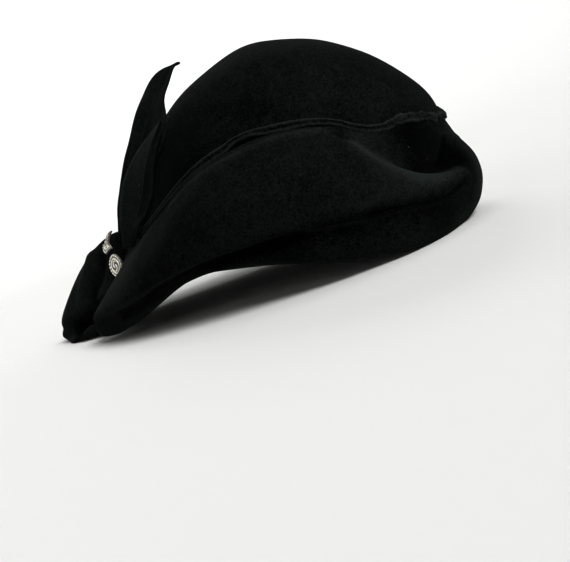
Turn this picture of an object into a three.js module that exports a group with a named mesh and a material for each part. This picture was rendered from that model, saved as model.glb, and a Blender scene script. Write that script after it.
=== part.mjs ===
// A draped felt hat with a velvet nap, about 1940: dome crown, brim turned up all round and drawn
// together at the back, two folded leaves and two small clips.
// Millimetres. The front looks along -Y, the wearer's right is -X, +Z is up, and z = 0 is the
// surface on which the hat rests by its hem.
import * as THREE from 'three';
import { mergeVertices } from 'three/addons/utils/BufferGeometryUtils.js';

// Driving sizes
const FELT = 1.7;
const GAP = 0.4;
const SEAM_GAP = 1.0;
const HEAD_HALF_LENGTH = 96;
const HEAD_HALF_WIDTH = 79;
const LEG_HEIGHT = 5;
const FOLD_HIGH = 5.5;
const SPREAD_FULL = 8;
const FULL_TUCK = 6;
const STRIP_THICK = 3.0;
const STRIP_HIGH = 4.6;
const STRIP_TOP_BACK = 67;
const CLIP_THICK = 2.2;
const CLIP_SIDES = 16;

// Facets per interval of the tables
const BRIM_AROUND = 2;
const BRIM_ACROSS = 2;
const LEAF_ALONG = 2;
const LEAF_ACROSS = 2;
const STRIP_SIDES = 6;

const toRadians = THREE.MathUtils.degToRad;
const mix = THREE.MathUtils.lerp;

function table(columns, rows) {
  return rows.map((row) => Object.fromEntries(columns.map((name, i) => [name, row[i]])));
}

// The crown's outer skin: an ellipse at each height, from the head line up to the top.
const CROWN_RINGS = table(
  ['up', 'front', 'back', 'half'],
  [
    [-4, -97, 98, 81],
    [10, -99, 99, 81.5],
    [30, -105, 100, 82.5],
    [50, -110, 100, 83],
    [67, -112, 96, 82],
    [80, -109, 90, 80],
    [92, -102, 83, 76.5],
    [104, -93, 74, 71],
    [115, -82.5, 63, 64],
    [125, -69.5, 50, 55],
    [133, -58, 37, 45],
    [139, -46, 22, 34],
    [143, -34, 10, 22],
    [145.5, -22, -3, 10],
  ],
);
const CROWN_FOOT_TOP = 40;
const CROWN_SHOULDER = 139;
const CROWN_TOP = { up: 146, front: -13, back: -13, half: 0 };

// The brim in section: one row for each place round the hat. turn is the angle in degrees from the
// front over the wearer's right, an Out is the distance from the hat's upright axis, an Up is a height.
const BRIM_SECTIONS = table(
  ['turn', 'headUp', 'hemOut', 'hemUp', 'bandOut', 'creaseOut', 'creaseUp', 'tuck', 'bellyOut',
    'ridgeOut', 'ridgeUp', 'dent', 'edgeUp'],
  [
    [0, 11, 103, -2.5, 117, 124, 20, 0, 124.5, 118, 44, 2, 66],
    [7, 11, 102, -2.5, 115, 122, 23, 1, 123.5, 120, 40, 12, 67],
    [14, 11, 102, -2.5, 114, 121, 23, 6, 122, 119, 32, 19, 68],
    [21, 11, 102, -1.8, 112, 120, 21.5, 8, 119, 115, 36, 19, 69],
    [30, 12, 102, 0, 110, 118, 25, 9, 116, 112, 43, 18, 71],
    [37, 14, 101.5, 2.5, 108, 116.5, 28, 10, 115, 110, 57, 14, 76],
    [44, 17, 98, 6, 106, 115, 30, 10, 113, 104, 74, 4, 82],
    [56, 22, 93, 9.5, 103, 111, 34, 10, 111, 102, 78, 0, 88],
    [70, 28, 88.5, 17, 98, 105.5, 38, 9, 107, 97, 80, 0, 90],
    [84, 33, 85.5, 22.5, 93, 101.5, 39.5, 8, 104, 94, 79, 0, 88.5],
    [97, 36, 84.5, 25.5, 92, 100, 39.5, 7, 102, 93, 75, 0, 84.5],
    [110, 37, 87, 28, 94, 102, 37.5, 7, 102, 93, 67, 0, 78],
    [122, 35, 92.5, 25, 100, 108, 34.5, 8, 105, 95, 60, 0, 71],
    [132, 32, 99, 20, 106, 114, 30, 9, 110, 99, 56, 0, 65],
    [142, 30, 108, 14, 113, 122, 26, 10, 115, 103, 52, 0, 61],
    [151, 28, 121, 8, 123, 133, 23, 10, 122, 107, 51, 0, 58],
    [158, 27, 134, 4, 136, 143, 20.5, 8, 127, 109, 50, 0, 57],
    [163, 26, 147, 2, 151, 151, 18, 1, 125, 111, 52, 0, 58],
    [167, 26, 149, 3, 151, 150, 18, 0, 119, 112, 54, 0, 60],
    [170.3, 26, 141, 4, 128, 140, 28, 9, 119, 115, 55, 0, 61],
    [173, 26, 167, 1, 140, 155, 27, 14, 128, 121, 60, 0, 62],
    [176.5, 26, 190, -2.5, 154, 173, 25, 17, 155, 133, 63, 0, 64],
    [180, 26, 210, -3, 179, 200, 20, 18, 184, 147, 62, 0, 64],
    [183.5, 26, 216, -2.5, 219, 217, 16, 3, 190, 150, 60, 0, 64],
    [188, 26, 209, 3, 214, 211, 17, 1, 181, 146, 59, 0, 64],
    [195, 26, 182, 6, 177, 184, 19, 6, 160, 135, 58, 0, 62],
    [205, 26, 152, 9, 148, 155, 24, 8, 138, 121, 57, 0, 61],
    [221, 26, 122, 10, 122, 129, 29, 9, 120, 107, 58, 0, 66],
    [240, 26, 104, 9, 108, 113, 33, 8, 110, 99, 64, 0, 76],
    [260, 26, 94, 9, 100, 105, 37, 6, 105, 96, 72, 0, 84],
    [281, 24, 91, 8, 98, 104, 36, 4, 106, 97, 75, 0, 87],
    [301, 18, 95, 4, 103, 109, 31, 2, 111, 103, 70, 0, 84],
    [320, 13, 100, -1, 110, 117, 24, 0, 119, 110, 58, 2, 76],
    [341, 11, 103, -2.5, 116, 122.5, 19, 0, 123.5, 116, 47, 4, 68],
  ],
);

// Each leaf in section: where its fold line is, and how wide each of its two blades is and which way
// that blade points, as a turn like the brim's.
const LEAF_COLUMNS = ['x', 'y', 'up', 'nearWide', 'nearTurn', 'farWide', 'farTurn'];
const TALL_LEAF = table(LEAF_COLUMNS, [
  [-33, 101.5, 56.6, 10.5, 197, 6.5, 333],
  [-36, 91, 75, 11.5, 195, 10.5, 11],
  [-41, 77, 91, 12.5, 194, 21.5, 31],
  [-43, 64.5, 106, 14, 192, 34, 34],
  [-42, 52.5, 120, 14, 192, 30, 32],
  [-36, 44.5, 133, 12, 189, 16, 29],
  [-27, 39.5, 144, 10.5, 191, 11, 27],
  [-17, 27.5, 152.5, 0.6, 190, 0.6, 10],
]);
const SHORT_LEAF = table(LEAF_COLUMNS, [
  [-46, 93, 56.1, 10, 210, 5.5, 33],
  [-54, 77, 69, 19, 205, 11.5, 37],
  [-60, 63, 81, 25.5, 203, 12.5, 35],
  [-63, 52.5, 94, 25.5, 203, 9.5, 31],
  [-63, 44, 106, 20.5, 206, 7, 26],
  [-61, 34.5, 116, 12, 215, 4, 15],
  [-57.6, 31.5, 121, 0.6, 190, 0.6, 340],
]);

// Uniform cubic B-spline weights of four neighbouring points.
function splineWeights(t) {
  const s = 1 - t;
  return [s ** 3 / 6, (3 * t ** 3 - 6 * t ** 2 + 4) / 6, (3 * s ** 3 - 6 * s ** 2 + 4) / 6, t ** 3 / 6];
}

function wrapped(list, i) {
  return list[((i % list.length) + list.length) % list.length];
}

// Past its ends an open row of points runs straight on.
function extended(list, i) {
  const last = list.length - 1;
  if (i < 0) return list[0].clone().multiplyScalar(2).sub(list[1]);
  if (i > last) return list[last].clone().multiplyScalar(2).sub(list[last - 1]);
  return list[i];
}

// Moves the points out by a sixth of their second difference, so that the curve drawn from them
// passes close to where they were.
function sharpened(list, pick) {
  return list.map((point, i) => {
    const before = pick(list, i - 1);
    const after = pick(list, i + 1);
    const bend = before.clone().add(after).addScaledVector(point, -2);
    return point.clone().addScaledVector(bend, -1 / 6);
  });
}

function splinePoint(list, at, pick) {
  const i = Math.floor(at);
  const weights = splineWeights(at - i);
  const sum = new THREE.Vector3();
  weights.forEach((weight, k) => sum.addScaledVector(pick(list, i + k - 1), weight));
  return sum;
}

// A skin over a net of points: rows of points, each row a section. Gives a grid of points with
// `along` steps between rows and `across` steps between the points of a row.
function skin(net, along, across, pickRow) {
  const closed = pickRow === wrapped;
  const width = net[0].length;
  const lines = [];
  for (let j = 0; j < width; j += 1) {
    lines.push(sharpened(net.map((row) => row[j]), pickRow));
  }
  const rows = closed ? net.length * along : (net.length - 1) * along + 1;
  const grid = [];
  for (let a = 0; a < rows; a += 1) {
    const section = lines.map((line) => splinePoint(line, a / along, pickRow));
    const points = [];
    for (let b = 0; b <= (width - 1) * across; b += 1) {
      points.push(splinePoint(section, b / across, extended));
    }
    grid.push(points);
  }
  return grid;
}

// Normals of a grid from the differences of its neighbours, along x across.
function gridNormals(grid, closed) {
  const rows = grid.length;
  const last = grid[0].length - 1;
  return grid.map((row, a) => row.map((point, b) => {
    const before = closed ? wrapped(grid, a - 1) : grid[Math.max(a - 1, 0)];
    const after = closed ? wrapped(grid, a + 1) : grid[Math.min(a + 1, rows - 1)];
    const down = after[b].clone().sub(before[b]);
    const over = row[Math.min(b + 1, last)].clone().sub(row[Math.max(b - 1, 0)]);
    return over.cross(down).normalize();
  }));
}

function meshFrom(name, corners, faces, material) {
  const flat = new Float32Array(corners.flatMap((corner) => [corner.x, corner.y, corner.z]));
  const geometry = new THREE.BufferGeometry();
  geometry.setAttribute('position', new THREE.BufferAttribute(flat, 3));
  geometry.setIndex(faces.flat());
  const merged = mergeVertices(geometry, 1e-4);
  merged.computeVertexNormals();
  const mesh = new THREE.Mesh(merged, material);
  mesh.name = name;
  return mesh;
}

// A wall between two grids of the same size, closed at its edges. The front grid's rows and columns
// turn so that its faces look away from the back grid.
function wall(name, front, back, closed, material) {
  const rows = front.length;
  const width = front[0].length;
  const corners = [...front.flat(), ...back.flat()];
  const faces = [];
  const quad = (a, b, c, d) => faces.push([a, b, c], [a, c, d]);
  const at = (side, a, b) => side * rows * width + (a % rows) * width + b;
  const spans = closed ? rows : rows - 1;
  for (let a = 0; a < spans; a += 1) {
    for (let b = 0; b < width - 1; b += 1) {
      quad(at(0, a, b), at(0, a, b + 1), at(0, a + 1, b + 1), at(0, a + 1, b));
      quad(at(1, a, b), at(1, a + 1, b), at(1, a + 1, b + 1), at(1, a, b + 1));
    }
    quad(at(0, a, 0), at(0, a + 1, 0), at(1, a + 1, 0), at(1, a, 0));
    quad(at(0, a, width - 1), at(1, a, width - 1), at(1, a + 1, width - 1), at(0, a + 1, width - 1));
  }
  if (!closed) {
    for (let b = 0; b < width - 1; b += 1) {
      quad(at(0, 0, b), at(1, 0, b), at(1, 0, b + 1), at(0, 0, b + 1));
      quad(at(0, rows - 1, b), at(0, rows - 1, b + 1), at(1, rows - 1, b + 1), at(1, rows - 1, b));
    }
  }
  return meshFrom(name, corners, faces, material);
}

// Crown shape
function ringAt(up) {
  const rings = [...CROWN_RINGS, CROWN_TOP];
  let i = 0;
  while (i < rings.length - 2 && rings[i + 1].up < up) i += 1;
  const share = THREE.MathUtils.clamp((up - rings[i].up) / (rings[i + 1].up - rings[i].up), 0, 1);
  return {
    front: mix(rings[i].front, rings[i + 1].front, share),
    back: mix(rings[i].back, rings[i + 1].back, share),
    half: mix(rings[i].half, rings[i + 1].half, share),
  };
}

// Distance from the axis to the crown's outer skin, at a turn and a height.
function crownOut(turn, up) {
  const ring = ringAt(up);
  const middle = (ring.front + ring.back) / 2;
  const halfLength = (ring.back - ring.front) / 2;
  const sideways = Math.sin(turn) / ring.half;
  const lengthways = Math.cos(turn) / halfLength;
  const shift = middle / halfLength;
  const a = sideways ** 2 + lengthways ** 2;
  const b = lengthways * shift;
  return (-b + Math.sqrt(b ** 2 - a * (shift ** 2 - 1))) / a;
}

function polar(turn, out, up) {
  return new THREE.Vector3(-Math.sin(turn) * out, -Math.cos(turn) * out, up);
}

function turnOf(point) {
  return Math.atan2(-point.x, -point.y);
}

function headOut(turn) {
  return 1 / Math.hypot(Math.sin(turn) / HEAD_HALF_WIDTH, Math.cos(turn) / HEAD_HALF_LENGTH);
}

// Brim: the section's points from the head line down and out to the hem, round it and up the band, in
// under the crease, round its lip and up the panel, over the ridge into the dent, and to the edge at
// the crown. Where there is no tuck the band goes straight on into the panel.
function brimSection(row) {
  const turn = toRadians(row.turn);
  const head = headOut(turn);
  const legUp = row.headUp - LEG_HEIGHT;
  const edgeOut = crownOut(turn, row.edgeUp) + SEAM_GAP + FELT;
  const spread = THREE.MathUtils.clamp((row.bandOut - row.hemOut) / SPREAD_FULL, 0, 1);
  const rimUp = row.hemUp + mix(FOLD_HIGH, FOLD_HIGH / 3, spread);
  const lipUp = row.creaseUp - FOLD_HIGH / 2;
  const bandUp = mix(rimUp, lipUp, 0.4);
  const tucked = Math.min(row.tuck / FULL_TUCK, 1);
  const tuckOut = mix(mix(row.bandOut, row.creaseOut, 0.5), row.creaseOut - row.tuck, tucked);
  const tuckUp = mix(mix(bandUp, lipUp, 0.5), lipUp + 1, tucked);
  const dentUp = mix(row.ridgeUp, row.edgeUp, 0.5);
  const dentOut = mix(row.ridgeOut, edgeOut, 0.5) - row.dent;
  return [
    [head, row.headUp],
    [head + 0.3, legUp],
    [mix(head, row.hemOut, 0.4), mix(legUp, row.hemUp, 0.7)],
    [row.hemOut - 1, row.hemUp],
    [row.hemOut + mix(1, FOLD_HIGH, spread), rimUp],
    [row.bandOut, bandUp],
    [tuckOut, tuckUp],
    [row.creaseOut - 1, lipUp],
    [row.creaseOut + 1, row.creaseUp + FOLD_HIGH / 2],
    [row.bellyOut, mix(row.creaseUp, row.ridgeUp, 0.55)],
    [row.ridgeOut, row.ridgeUp],
    [dentOut, dentUp],
    [edgeOut, row.edgeUp],
  ].map(([out, up]) => polar(turn, out, up));
}

// Keeps a point outside the crown's skin.
function clearOfCrown(point, clear) {
  if (point.z > CROWN_SHOULDER) return point;
  const turn = turnOf(point);
  const out = Math.hypot(point.x, point.y);
  return polar(turn, Math.max(out, crownOut(turn, point.z) + clear), point.z);
}

// The brim's points up to the hem are under the crown, and the others are beside it. Where the hem
// would go below the surface that the hat rests on, it is pressed flat. At the head line the wall is
// cut level, for the crown's foot.
function brimGrids() {
  const raw = skin(BRIM_SECTIONS.map(brimSection), BRIM_AROUND, BRIM_ACROSS, wrapped);
  const hemPoint = 3 * BRIM_ACROSS;
  const settle = (point, b, clear, floor) => {
    const raised = point.clone();
    raised.z = Math.max(point.z, floor);
    return b > hemPoint ? clearOfCrown(raised, clear) : raised;
  };
  const front = raw.map((row) => row.map((point, b) => settle(point, b, SEAM_GAP + FELT, 0)));
  const normals = gridNormals(front, true);
  const back = front.map((row, a) => row.map((point, b) => (
    settle(point.clone().addScaledVector(normals[a][b], -FELT), b, SEAM_GAP, FELT))));
  back.forEach((row, a) => {
    row[0].z = front[a][0].z;
  });
  return { front, back };
}

// Crown: rings of the outer skin set in by the felt's thickness. Its lower edge follows the brim's
// upper edge along the head line, a gap above it.
function ringPoint(ring, turn, up) {
  const middle = (ring.front + ring.back) / 2;
  const halfLength = (ring.back - ring.front) / 2;
  return new THREE.Vector3(-Math.sin(turn) * ring.half, middle - Math.cos(turn) * halfLength, up);
}

function crownGrids(headLine) {
  const outer = [];
  const inner = [];
  const rings = CROWN_RINGS.filter((ring) => ring.up > CROWN_FOOT_TOP);
  headLine.forEach((foot) => {
    const turn = turnOf(foot);
    const footUp = foot.z + GAP;
    const footPoint = polar(turn, crownOut(turn, footUp), footUp);
    outer.push([footPoint, ...rings.map((ring) => ringPoint(ring, turn, ring.up))]);
  });
  const normals = gridNormals(outer, true);
  outer.forEach((column, a) => {
    inner.push(column.map((point, b) => {
      const set = point.clone().addScaledVector(normals[a][b], -FELT);
      if (b === 0) set.z = point.z;
      return set;
    }));
  });
  return { outer, inner };
}

// The crown is closed over the top by a fan on each side of the wall.
function crownMesh(headLine) {
  const { outer, inner } = crownGrids(headLine);
  const count = outer.length;
  const width = outer[0].length;
  const top = polar(0, -CROWN_TOP.front, CROWN_TOP.up);
  top.y = CROWN_TOP.front;
  const under = top.clone();
  under.z -= FELT;
  const corners = [...outer.flat(), ...inner.flat(), top, under];
  const at = (side, a, b) => side * count * width + (a % count) * width + b;
  const topIndex = corners.length - 2;
  const faces = [];
  const quad = (a, b, c, d) => faces.push([a, b, c], [a, c, d]);
  for (let a = 0; a < count; a += 1) {
    for (let b = 0; b < width - 1; b += 1) {
      quad(at(0, a, b), at(0, a, b + 1), at(0, a + 1, b + 1), at(0, a + 1, b));
      quad(at(1, a, b), at(1, a + 1, b), at(1, a + 1, b + 1), at(1, a, b + 1));
    }
    quad(at(0, a, 0), at(0, a + 1, 0), at(1, a + 1, 0), at(1, a, 0));
    faces.push([at(0, a, width - 1), topIndex, at(0, a + 1, width - 1)]);
    faces.push([at(1, a, width - 1), at(1, a + 1, width - 1), topIndex + 1]);
  }
  return meshFrom('crown', corners, faces, felt);
}

const felt = new THREE.MeshStandardMaterial({ color: 0x0c0e0e, roughness: 0.95, metalness: 0 });
const pewter = new THREE.MeshStandardMaterial({ color: 0x8f8c84, roughness: 0.4, metalness: 0.9 });

// Edge strip: a flattened roll that lies on the crown's skin just above the brim's edge.
function crownNormal(turn, up) {
  const step = 0.5;
  const here = polar(turn, crownOut(turn, up), up);
  const beside = polar(turn + step / 100, crownOut(turn + step / 100, up), up);
  const above = polar(turn, crownOut(turn, up + step), up + step);
  return beside.sub(here).cross(above.sub(here)).normalize().negate();
}

function stripMesh(edgeLine) {
  const corners = [];
  const count = edgeLine.length;
  edgeLine.forEach((edge, a) => {
    const turn = turnOf(edge);
    const up = edge.z + SEAM_GAP + STRIP_HIGH / 2;
    const middle = polar(turn, crownOut(turn, up), up);
    const normal = crownNormal(turn, up);
    const next = wrapped(edgeLine, a + 1).clone().sub(wrapped(edgeLine, a - 1));
    const upward = normal.clone().cross(next).normalize();
    if (upward.z < 0) upward.negate();
    for (let k = 0; k < STRIP_SIDES; k += 1) {
      const round = (2 * Math.PI * k) / STRIP_SIDES;
      corners.push(middle.clone()
        .addScaledVector(upward, (Math.cos(round) * STRIP_HIGH) / 2)
        .addScaledVector(normal, SEAM_GAP + (STRIP_THICK * (1 + Math.sin(round))) / 2));
    }
  });
  const faces = [];
  for (let a = 0; a < count; a += 1) {
    for (let k = 0; k < STRIP_SIDES; k += 1) {
      const at = (i, j) => (i % count) * STRIP_SIDES + (j % STRIP_SIDES);
      faces.push([at(a, k), at(a + 1, k + 1), at(a, k + 1)], [at(a, k), at(a + 1, k), at(a + 1, k + 1)]);
    }
  }
  return meshFrom('edge_strip', corners, faces, felt);
}

// Leaves: a strip of felt folded lengthwise, with a blade each side of the fold line.
function leafSection(row) {
  const fold = new THREE.Vector3(row.x, row.y, row.up);
  const near = polar(toRadians(row.nearTurn), row.nearWide, 0);
  const far = polar(toRadians(row.farTurn), row.farWide, 0);
  return [
    fold.clone().add(near),
    fold.clone().addScaledVector(near, 0.5),
    fold,
    fold.clone().addScaledVector(far, 0.5),
    fold.clone().add(far),
  ];
}

// At its foot a leaf stays clear of the edge strip, higher up of the crown alone.
function leafGap(up) {
  const share = THREE.MathUtils.smoothstep(up, STRIP_TOP_BACK, STRIP_TOP_BACK + 10);
  return mix(SEAM_GAP + STRIP_THICK + 2 * GAP, SEAM_GAP, share);
}

function leafMesh(name, rows) {
  const raw = skin(rows.map(leafSection), LEAF_ALONG, LEAF_ACROSS, extended);
  const front = raw.map((row) => row.map((point) => clearOfCrown(point, leafGap(point.z) + FELT)));
  const normals = gridNormals(front, false);
  const back = front.map((row, a) => row.map((point, b) => (
    clearOfCrown(point.clone().addScaledVector(normals[a][b], -FELT), leafGap(point.z)))));
  return wall(name, front, back, false, felt);
}

// Clips: a pointed plate with a raised rim and a domed middle, flat behind. Each is given by its
// middle, the way it faces as a turn and a rise, how far its long axis leans, and how far its upper
// end is bent over and narrowed.
const CLIPS = table(
  ['name', 'x', 'y', 'up', 'turn', 'rise', 'lean', 'long', 'wide', 'bend', 'taper'],
  [
    ['clip_right', -25, 122, 45.6, 92, 12, 0, 17, 10.5, 0, 0],
    ['clip_left', -11.3, 130.3, 61.3, 100, 15, 12, 17, 10.5, 3, 0.5],
  ],
);
const CLIP_RINGS = table(
  ['size', 'high'],
  [[0.86, 0], [1, 0.5], [0.93, 1], [0.8, 0.8], [0.55, 1.1], [0.28, 1.35]],
);

function clipMesh(clip) {
  const facing = polar(toRadians(clip.turn), Math.cos(toRadians(clip.rise)), Math.sin(toRadians(clip.rise)));
  const side = new THREE.Vector3(0, 0, 1).cross(facing).normalize();
  const upward = facing.clone().cross(side).normalize();
  const lean = toRadians(clip.lean);
  const longAxis = upward.clone().multiplyScalar(Math.cos(lean)).addScaledVector(side, Math.sin(lean));
  const wideAxis = longAxis.clone().cross(facing);
  const middle = new THREE.Vector3(clip.x, clip.y, clip.up);
  const place = (size, round, high) => {
    const along = Math.cos(round) * size;
    const pointed = Math.sin(round) * Math.abs(Math.sin(round)) ** 0.3;
    const across = pointed * size * (1 - clip.taper * Math.max(along, 0));
    return middle.clone()
      .addScaledVector(longAxis, (clip.long / 2) * along)
      .addScaledVector(wideAxis, (clip.wide / 2) * across + clip.bend * along ** 2)
      .addScaledVector(facing, CLIP_THICK * high);
  };
  const corners = [place(0, 0, 0)];
  CLIP_RINGS.forEach((ring) => {
    for (let k = 0; k < CLIP_SIDES; k += 1) {
      corners.push(place(ring.size, (2 * Math.PI * k) / CLIP_SIDES, ring.high));
    }
  });
  corners.push(place(0, 0, CLIP_RINGS[CLIP_RINGS.length - 1].high + 0.05));
  const at = (ring, k) => 1 + ring * CLIP_SIDES + (k % CLIP_SIDES);
  const last = CLIP_RINGS.length - 1;
  const faces = [];
  for (let k = 0; k < CLIP_SIDES; k += 1) {
    faces.push([0, at(0, k), at(0, k + 1)]);
    for (let ring = 0; ring < last; ring += 1) {
      faces.push([at(ring, k), at(ring + 1, k), at(ring + 1, k + 1)]);
      faces.push([at(ring, k), at(ring + 1, k + 1), at(ring, k + 1)]);
    }
    faces.push([at(last, k), corners.length - 1, at(last, k + 1)]);
  }
  return meshFrom(clip.name, corners, faces, pewter);
}

const hat = new THREE.Group();
const brim = brimGrids();
hat.add(wall('brim', brim.front, brim.back, true, felt));
hat.add(crownMesh(brim.front.map((row) => row[0])));
hat.add(stripMesh(brim.front.map((row) => row[row.length - 1])));
hat.add(leafMesh('leaf_tall', TALL_LEAF));
hat.add(leafMesh('leaf_short', SHORT_LEAF));
CLIPS.forEach((clip) => hat.add(clipMesh(clip)));

// The origin goes below the middle of the whole hat.
const extent = new THREE.Box3().setFromObject(hat);
const middle = extent.getCenter(new THREE.Vector3());
hat.children.forEach((mesh) => mesh.geometry.translate(-middle.x, -middle.y, -extent.min.z));
export default hat;
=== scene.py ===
"""A draped hat of black velvet felt, about 1940. Tables are in millimetres from the hat's upright axis;
the model is in metres, with the front along -Y, the wearer's right along -X and the floor at z = 0."""

import bpy
import numpy as np
from mathutils import Matrix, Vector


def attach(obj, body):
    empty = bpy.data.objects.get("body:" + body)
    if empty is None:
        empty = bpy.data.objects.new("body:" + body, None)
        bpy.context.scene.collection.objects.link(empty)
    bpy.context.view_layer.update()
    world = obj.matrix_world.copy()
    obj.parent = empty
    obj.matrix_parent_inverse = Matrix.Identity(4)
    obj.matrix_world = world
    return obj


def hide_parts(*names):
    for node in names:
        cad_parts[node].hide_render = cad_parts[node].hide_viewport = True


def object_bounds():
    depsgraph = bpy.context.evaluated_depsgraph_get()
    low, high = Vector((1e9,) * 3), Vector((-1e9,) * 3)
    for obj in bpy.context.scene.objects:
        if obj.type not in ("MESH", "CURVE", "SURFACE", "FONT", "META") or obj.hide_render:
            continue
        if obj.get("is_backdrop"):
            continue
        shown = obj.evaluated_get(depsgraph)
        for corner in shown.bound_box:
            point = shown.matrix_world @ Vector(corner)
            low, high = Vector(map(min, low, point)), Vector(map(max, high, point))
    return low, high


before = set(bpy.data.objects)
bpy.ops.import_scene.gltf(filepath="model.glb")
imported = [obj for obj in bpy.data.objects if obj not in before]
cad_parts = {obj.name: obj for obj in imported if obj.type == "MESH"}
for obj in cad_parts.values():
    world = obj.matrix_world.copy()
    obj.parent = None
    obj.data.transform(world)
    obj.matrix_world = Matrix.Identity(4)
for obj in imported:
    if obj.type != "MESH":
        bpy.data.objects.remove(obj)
cad_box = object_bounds()


# Brim: one piece of blocked fur felt 1.7 mm thick with a velvet nap. It turns out from the head line,
# round the hem, goes up as a band, is tucked under a crease and comes back over the outside as a wide
# panel to the crown. At the back it is drawn together at a knot and flares into two lobes.
FELT = 1.7
EDGE_BULGE = 0.4
SEAM_GAP = 1.0
HEAD_HALF_LENGTH = 96
HEAD_HALF_WIDTH = 79
LEG_HEIGHT = 5
FOLD_HIGH = 5.5
SPREAD_FULL = 8
FULL_TUCK = 6
HEM_POINT = 3
BRIM_AROUND = 10
BRIM_ACROSS = 10
AXIS_PLACE = np.array([-1.0364952, -47.2046051, 0.0])
MM = 0.001

# The crown's outer skin: height, then its front, its back and its half width there.
CROWN_RINGS = np.array([
    [-4, -97, 98, 81],
    [10, -99, 99, 81.5],
    [30, -105, 100, 82.5],
    [50, -110, 100, 83],
    [67, -112, 96, 82],
    [80, -109, 90, 80],
    [92, -102, 83, 76.5],
    [104, -93, 74, 71],
    [115, -82.5, 63, 64],
    [125, -69.5, 50, 55],
    [133, -58, 37, 45],
    [139, -46, 22, 34],
    [143, -34, 10, 22],
    [145.5, -22, -3, 10],
    [146, -13, -13, 0],
])
CROWN_SHOULDER = 139

# Each row is a section of the brim. turn is in degrees from the front over the wearer's right, an out
# is a distance from the axis and an up a height.
BRIM_COLUMNS = [
    "turn", "head_up", "hem_out", "hem_up", "band_out", "crease_out", "crease_up", "tuck", "belly_out",
    "ridge_out", "ridge_up", "dent", "edge_up",
]
BRIM_SECTIONS = np.array([
    [0, 11, 103, -2.5, 117, 124, 20, 0, 124.5, 118, 46.5, 0, 62.5],
    [7, 11, 102, -2.5, 115, 122, 23, 1, 123.5, 120, 40, 12, 63.5],
    [14, 11, 102, -2.5, 114, 121, 23, 6, 122, 119, 32, 19, 65.5],
    [21, 11, 102, -1.8, 112, 120, 21.5, 8, 119, 115, 36, 19, 69],
    [30, 12, 102, 0, 110, 118, 25, 9, 116, 112, 43, 18, 71],
    [37, 14, 101.5, 2.5, 108, 116.5, 28, 10, 115, 110, 57, 14, 76],
    [44, 17, 98, 6, 106, 115, 30, 10, 113, 104, 74, 4, 82],
    [56, 22, 93, 9.5, 103, 111, 34, 10, 111, 102, 78, 0, 88],
    [70, 28, 88.5, 17, 98, 105.5, 38, 9, 107, 97, 80, 0, 90],
    [84, 33, 85.5, 22.5, 93, 101.5, 39.5, 8, 104, 94, 79, 0, 88.5],
    [97, 36, 84.5, 25.5, 92, 100, 39.5, 7, 102, 93, 75, 0, 84.5],
    [110, 37, 87, 28, 94, 102, 37.5, 7, 102, 93, 67, 0, 78],
    [122, 35, 92.5, 25, 100, 108, 34.5, 8, 105, 95, 60, 0, 71],
    [132, 32, 99, 20, 106, 114, 30, 9, 110, 99, 56, 0, 65],
    [142, 30, 108, 14, 113, 122, 26, 10, 115, 103, 52, 0, 61],
    [151, 28, 121, 8, 123, 133, 23, 10, 122, 107, 51, 0, 58],
    [158, 27, 134, 4, 136, 143, 20.5, 8, 127, 109, 50, 0, 57],
    [163, 26, 147, 2, 151, 151, 18, 1, 125, 111, 52, 0, 58],
    [167, 26, 149, 3, 151, 150, 18, 0, 119, 112, 54, 0, 60],
    [170.3, 26, 141, 4, 128, 140, 28, 9, 119, 115, 55, 0, 61],
    [173, 26, 165, 6.5, 140, 155, 27, 14, 128, 121, 60, 0, 62],
    [176.5, 26, 188, 1, 154, 173, 25, 17, 155, 133, 68, 0, 64],
    [180, 26, 204, -3, 194, 200, 18, 4, 180, 146, 65.5, 0, 64],
    [183.5, 26, 208, -2.5, 222, 216, 14, 0, 186, 149, 61, 0, 64],
    [188, 26, 209, 3, 214, 209, 17, 1, 180, 146, 61, 0, 64],
    [195, 26, 182, 6, 177, 184, 19, 6, 160, 135, 58, 0, 62],
    [205, 26, 152, 9, 148, 155, 24, 8, 138, 121, 57, 0, 61],
    [221, 26, 122, 10, 122, 129, 29, 9, 120, 107, 58, 0, 66],
    [240, 26, 104, 9, 108, 113, 33, 8, 110, 99, 64, 0, 76],
    [260, 26, 94, 9, 100, 105, 37, 6, 105, 96, 72, 0, 84],
    [281, 24, 91, 8, 98, 104, 36, 4, 106, 97, 75, 0, 87],
    [301, 18, 95, 4, 103, 109, 31, 2, 111, 103, 70, 0, 84],
    [320, 13, 100, -1, 110, 117, 24, 0, 119, 110, 58, 2, 76],
    [341, 11, 103, -2.5, 116, 122.5, 19, 0, 123.5, 116, 49, 1, 65.5],
])


def mix(low, high, share):
    """Straight line from low to high."""
    return low + (high - low) * share


def polar(turn, out, up):
    """Point at a turn in radians from the front over the wearer's right, a distance out and a height."""
    return np.stack([-np.sin(turn) * out, -np.cos(turn) * out, up + 0 * turn * out], -1)


def crown_out(turn, up):
    """Distance from the axis to the crown's skin: each ring is an ellipse whose middle lies off the
    axis, so this is the positive root of the line's quadratic with it."""
    front, back, half = (np.interp(up, CROWN_RINGS[:, 0], CROWN_RINGS[:, k]) for k in (1, 2, 3))
    half_length = (back - front) / 2
    shift = (front + back) / 2 / half_length
    sideways = np.sin(turn) / half
    lengthways = np.cos(turn) / half_length
    a = sideways**2 + lengthways**2
    b = lengthways * shift
    return (-b + np.sqrt(b**2 - a * (shift**2 - 1))) / a


def on_crown(turn, up):
    """Point of the crown's skin at a turn and a height."""
    return polar(turn, crown_out(turn, up), up)


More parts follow.
